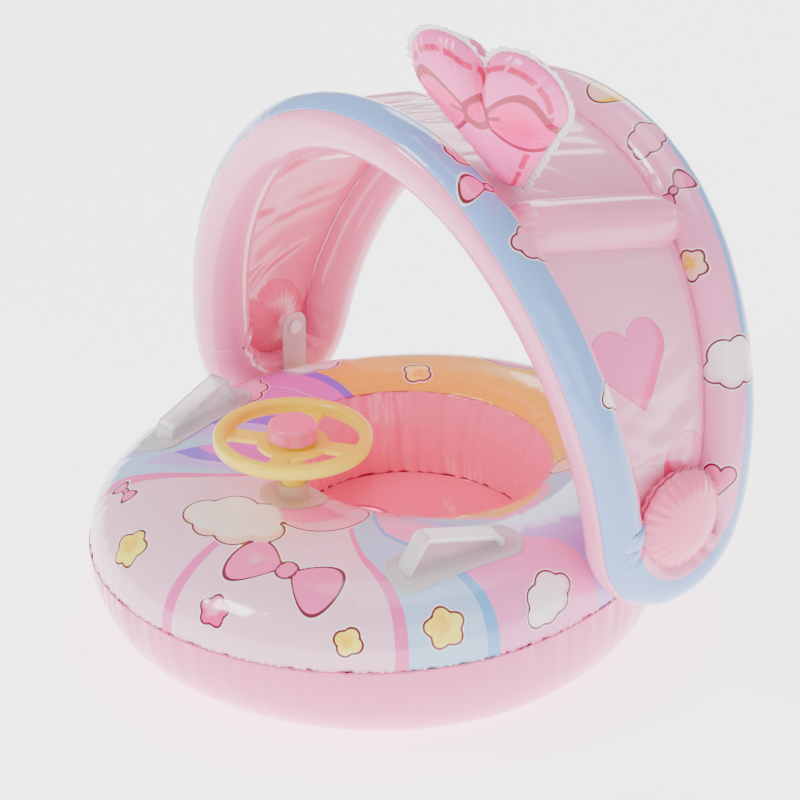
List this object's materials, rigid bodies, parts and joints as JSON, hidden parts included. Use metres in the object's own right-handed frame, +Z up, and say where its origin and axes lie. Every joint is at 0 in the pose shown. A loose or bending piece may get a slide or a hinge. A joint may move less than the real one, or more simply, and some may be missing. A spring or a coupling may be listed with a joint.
{
  "type": "inflatable child swim boat",
  "caption": "Inflatable child's swim ring with a seat sling, tilting sun canopy, toy steering wheel with horn button, grab handles and a heart pillow.",
  "frame": {"origin": "on the ground under the middle of the ring", "axes": "+Z up, -Y towards the boat's front (the steering wheel), +X towards the rider's left"},
  "size_m": [0.654, 0.6312, 0.6937],
  "materials": {
    "printed_pvc": "glossy printed PVC sheet",
    "pink_pvc": "glossy PVC sheet",
    "pale_sheet": "glossy thin PVC sheet",
    "clear_pvc": "clear welded PVC",
    "yellow_plastic": "moulded gloss",
    "pink_plastic": "moulded satin",
    "white_plastic": "moulded satin",
    "soft_vinyl": "soft matte vinyl",
    "steel": "spring steel"
  },
  "bodies": {
    "float": {"axle_clip": "steel", "canopy_tab_left": "clear_pvc", "canopy_tab_right": "clear_pvc", "cockpit_wall": "pink_pvc", "float_bottom_skin": "pink_pvc", "float_top_skin": "printed_pvc", "float_valve_body": "clear_pvc", "handle_grip_left": "clear_pvc", "handle_grip_right": "clear_pvc", "handle_patch_left": "clear_pvc", "handle_patch_right": "clear_pvc", "seat_sling": "pink_pvc", "wheel_axle": "white_plastic", "wheel_socket": "clear_pvc"},
    "wheel": {"steering_wheel": "yellow_plastic", "squeaker_reed": "white_plastic", "horn_bellows": "soft_vinyl"},
    "horn": {"horn_button": "pink_plastic"},
    "canopy": {"canopy_inner_skin": "pink_pvc", "canopy_outer_skin": "printed_pvc", "canopy_side_sheet_left": "pale_sheet", "canopy_side_sheet_right": "pale_sheet", "canopy_top_sheet": "pale_sheet", "canopy_valve_body": "clear_pvc", "crossbar_left": "pink_pvc", "crossbar_right": "pink_pvc", "end_pillow_left": "pink_pvc", "end_pillow_right": "pink_pvc", "heart_back_skin": "pink_pvc", "heart_flange": "clear_pvc", "heart_front_skin": "pink_pvc", "heart_valve_body": "clear_pvc", "press_stud_left": "white_plastic", "press_stud_right": "white_plastic"},
    "float_plug": {"float_valve_plug": "clear_pvc"},
    "canopy_plug": {"canopy_valve_plug": "clear_pvc"},
    "heart_plug": {"heart_valve_plug": "clear_pvc"}
  },
  "joints": [
    {"name": "steering_wheel_turn", "type": "hinge", "parent": "float", "child": "wheel", "pos_m": [0, -0.13, 0.252], "axis": [0, 0, 1], "continuous": true},
    {"name": "horn_press", "type": "slide", "parent": "wheel", "child": "horn", "axis": [0, 0, -1], "range_m": [0, 0.004], "stiffness_N_per_m": 900, "springref_m": -0.0006, "deforming": ["horn_bellows"]},
    {"name": "canopy_tilt", "type": "hinge", "parent": "float", "child": "canopy", "pos_m": [0, 0.099, 0.207], "axis": [1, 0, 0], "range_deg": [-40, 25]},
    {"name": "float_plug_hinge", "type": "hinge", "parent": "float", "child": "float_plug", "pos_m": [0.109, 0.205, 0.2003], "axis": [0, 1, 0], "range_deg": [0, 110]},
    {"name": "canopy_plug_hinge", "type": "hinge", "parent": "canopy", "child": "canopy_plug", "pos_m": [-0.31743, 0.21497, 0.25486], "axis": [-0.6861, -0.6326, 0.3593], "range_deg": [0, 110]},
    {"name": "heart_plug_hinge", "type": "hinge", "parent": "canopy", "child": "heart_plug", "pos_m": [0.14667, 0.05243, 0.62363], "axis": [-0.0594, 0.3368, -0.9397], "range_deg": [0, 110]}
  ]
}
